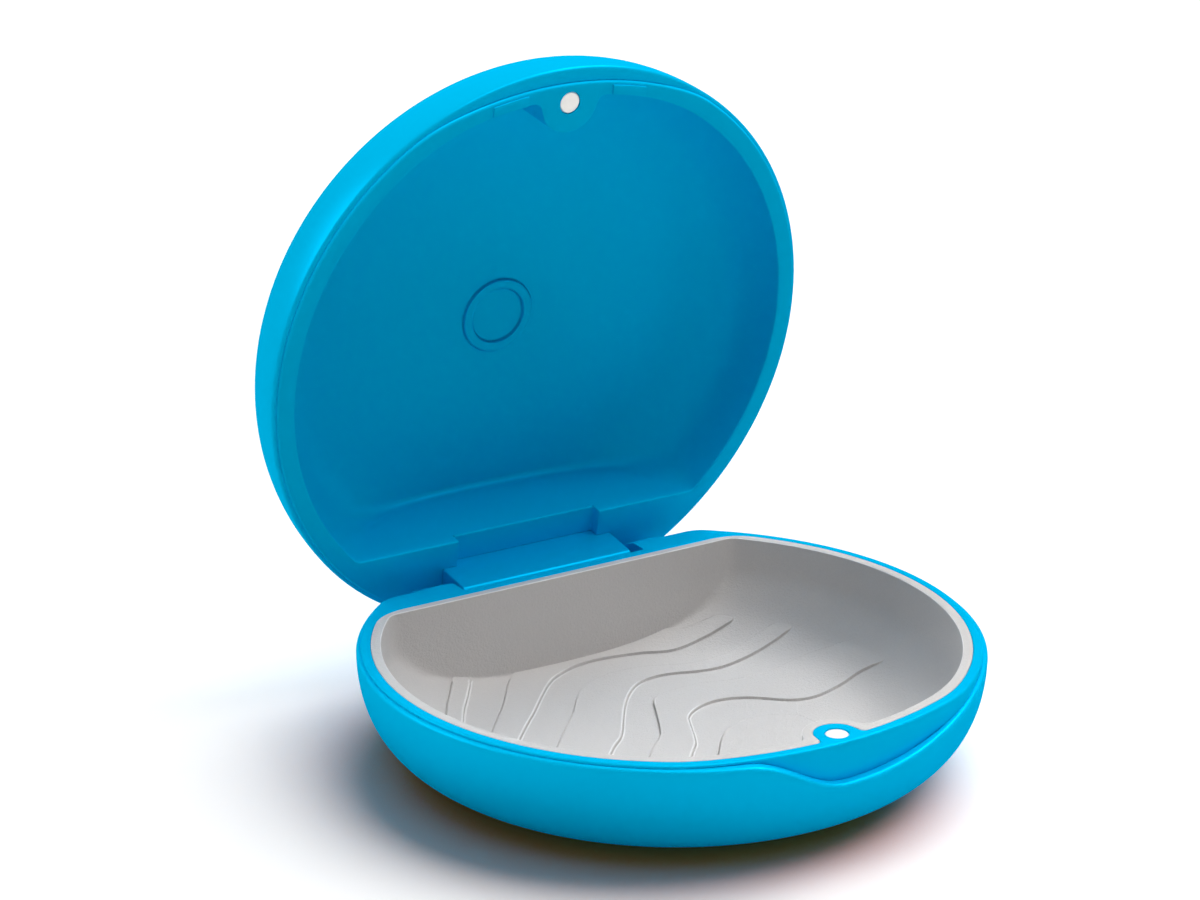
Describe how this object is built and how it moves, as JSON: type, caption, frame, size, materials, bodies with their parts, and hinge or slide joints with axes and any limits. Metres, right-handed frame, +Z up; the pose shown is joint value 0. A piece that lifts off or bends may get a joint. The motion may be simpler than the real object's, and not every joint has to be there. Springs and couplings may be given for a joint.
{
  "type": "orthodontic retainer case",
  "caption": "Round clamshell case for an orthodontic retainer, with blue shells, a grey tray, a magnetic closure, a thumb scoop and a pinned friction hinge at its flat back.",
  "frame": {"origin": "centre of the flat foot, on the case axis", "axes": "+Z up along the case axis, the hinge axis along X at the back (+Y), the thumb scoop at the front (-Y)"},
  "size_m": [0.082, 0.0918, 0.0868],
  "materials": {
    "blue_shell": "satin, fine moulded texture",
    "blue_frame": "satin",
    "blue_liner": "satin, fine moulded texture",
    "grey_tray": "matt, fine grain",
    "magnet": "satin plated",
    "pin_steel": "drawn",
    "bush_polymer": "moulded"
  },
  "bodies": {
    "base": {"base_outer_shell": "blue_shell", "base_frame": "blue_frame", "tray_liner": "grey_tray", "base_magnet": "magnet", "hinge_bush_left": "bush_polymer", "hinge_bush_right": "bush_polymer"},
    "lid": {"lid_outer_shell": "blue_shell", "lid_liner": "blue_liner", "lid_magnet": "magnet", "hinge_block": "blue_liner", "hinge_pin": "pin_steel"}
  },
  "joints": [
    {"name": "lid_hinge", "type": "hinge", "parent": "base", "child": "lid", "pos_m": [0, 0.03335, 0.0125], "axis": [-1, 0, 0], "range_deg": [-80, 15]}
  ]
}
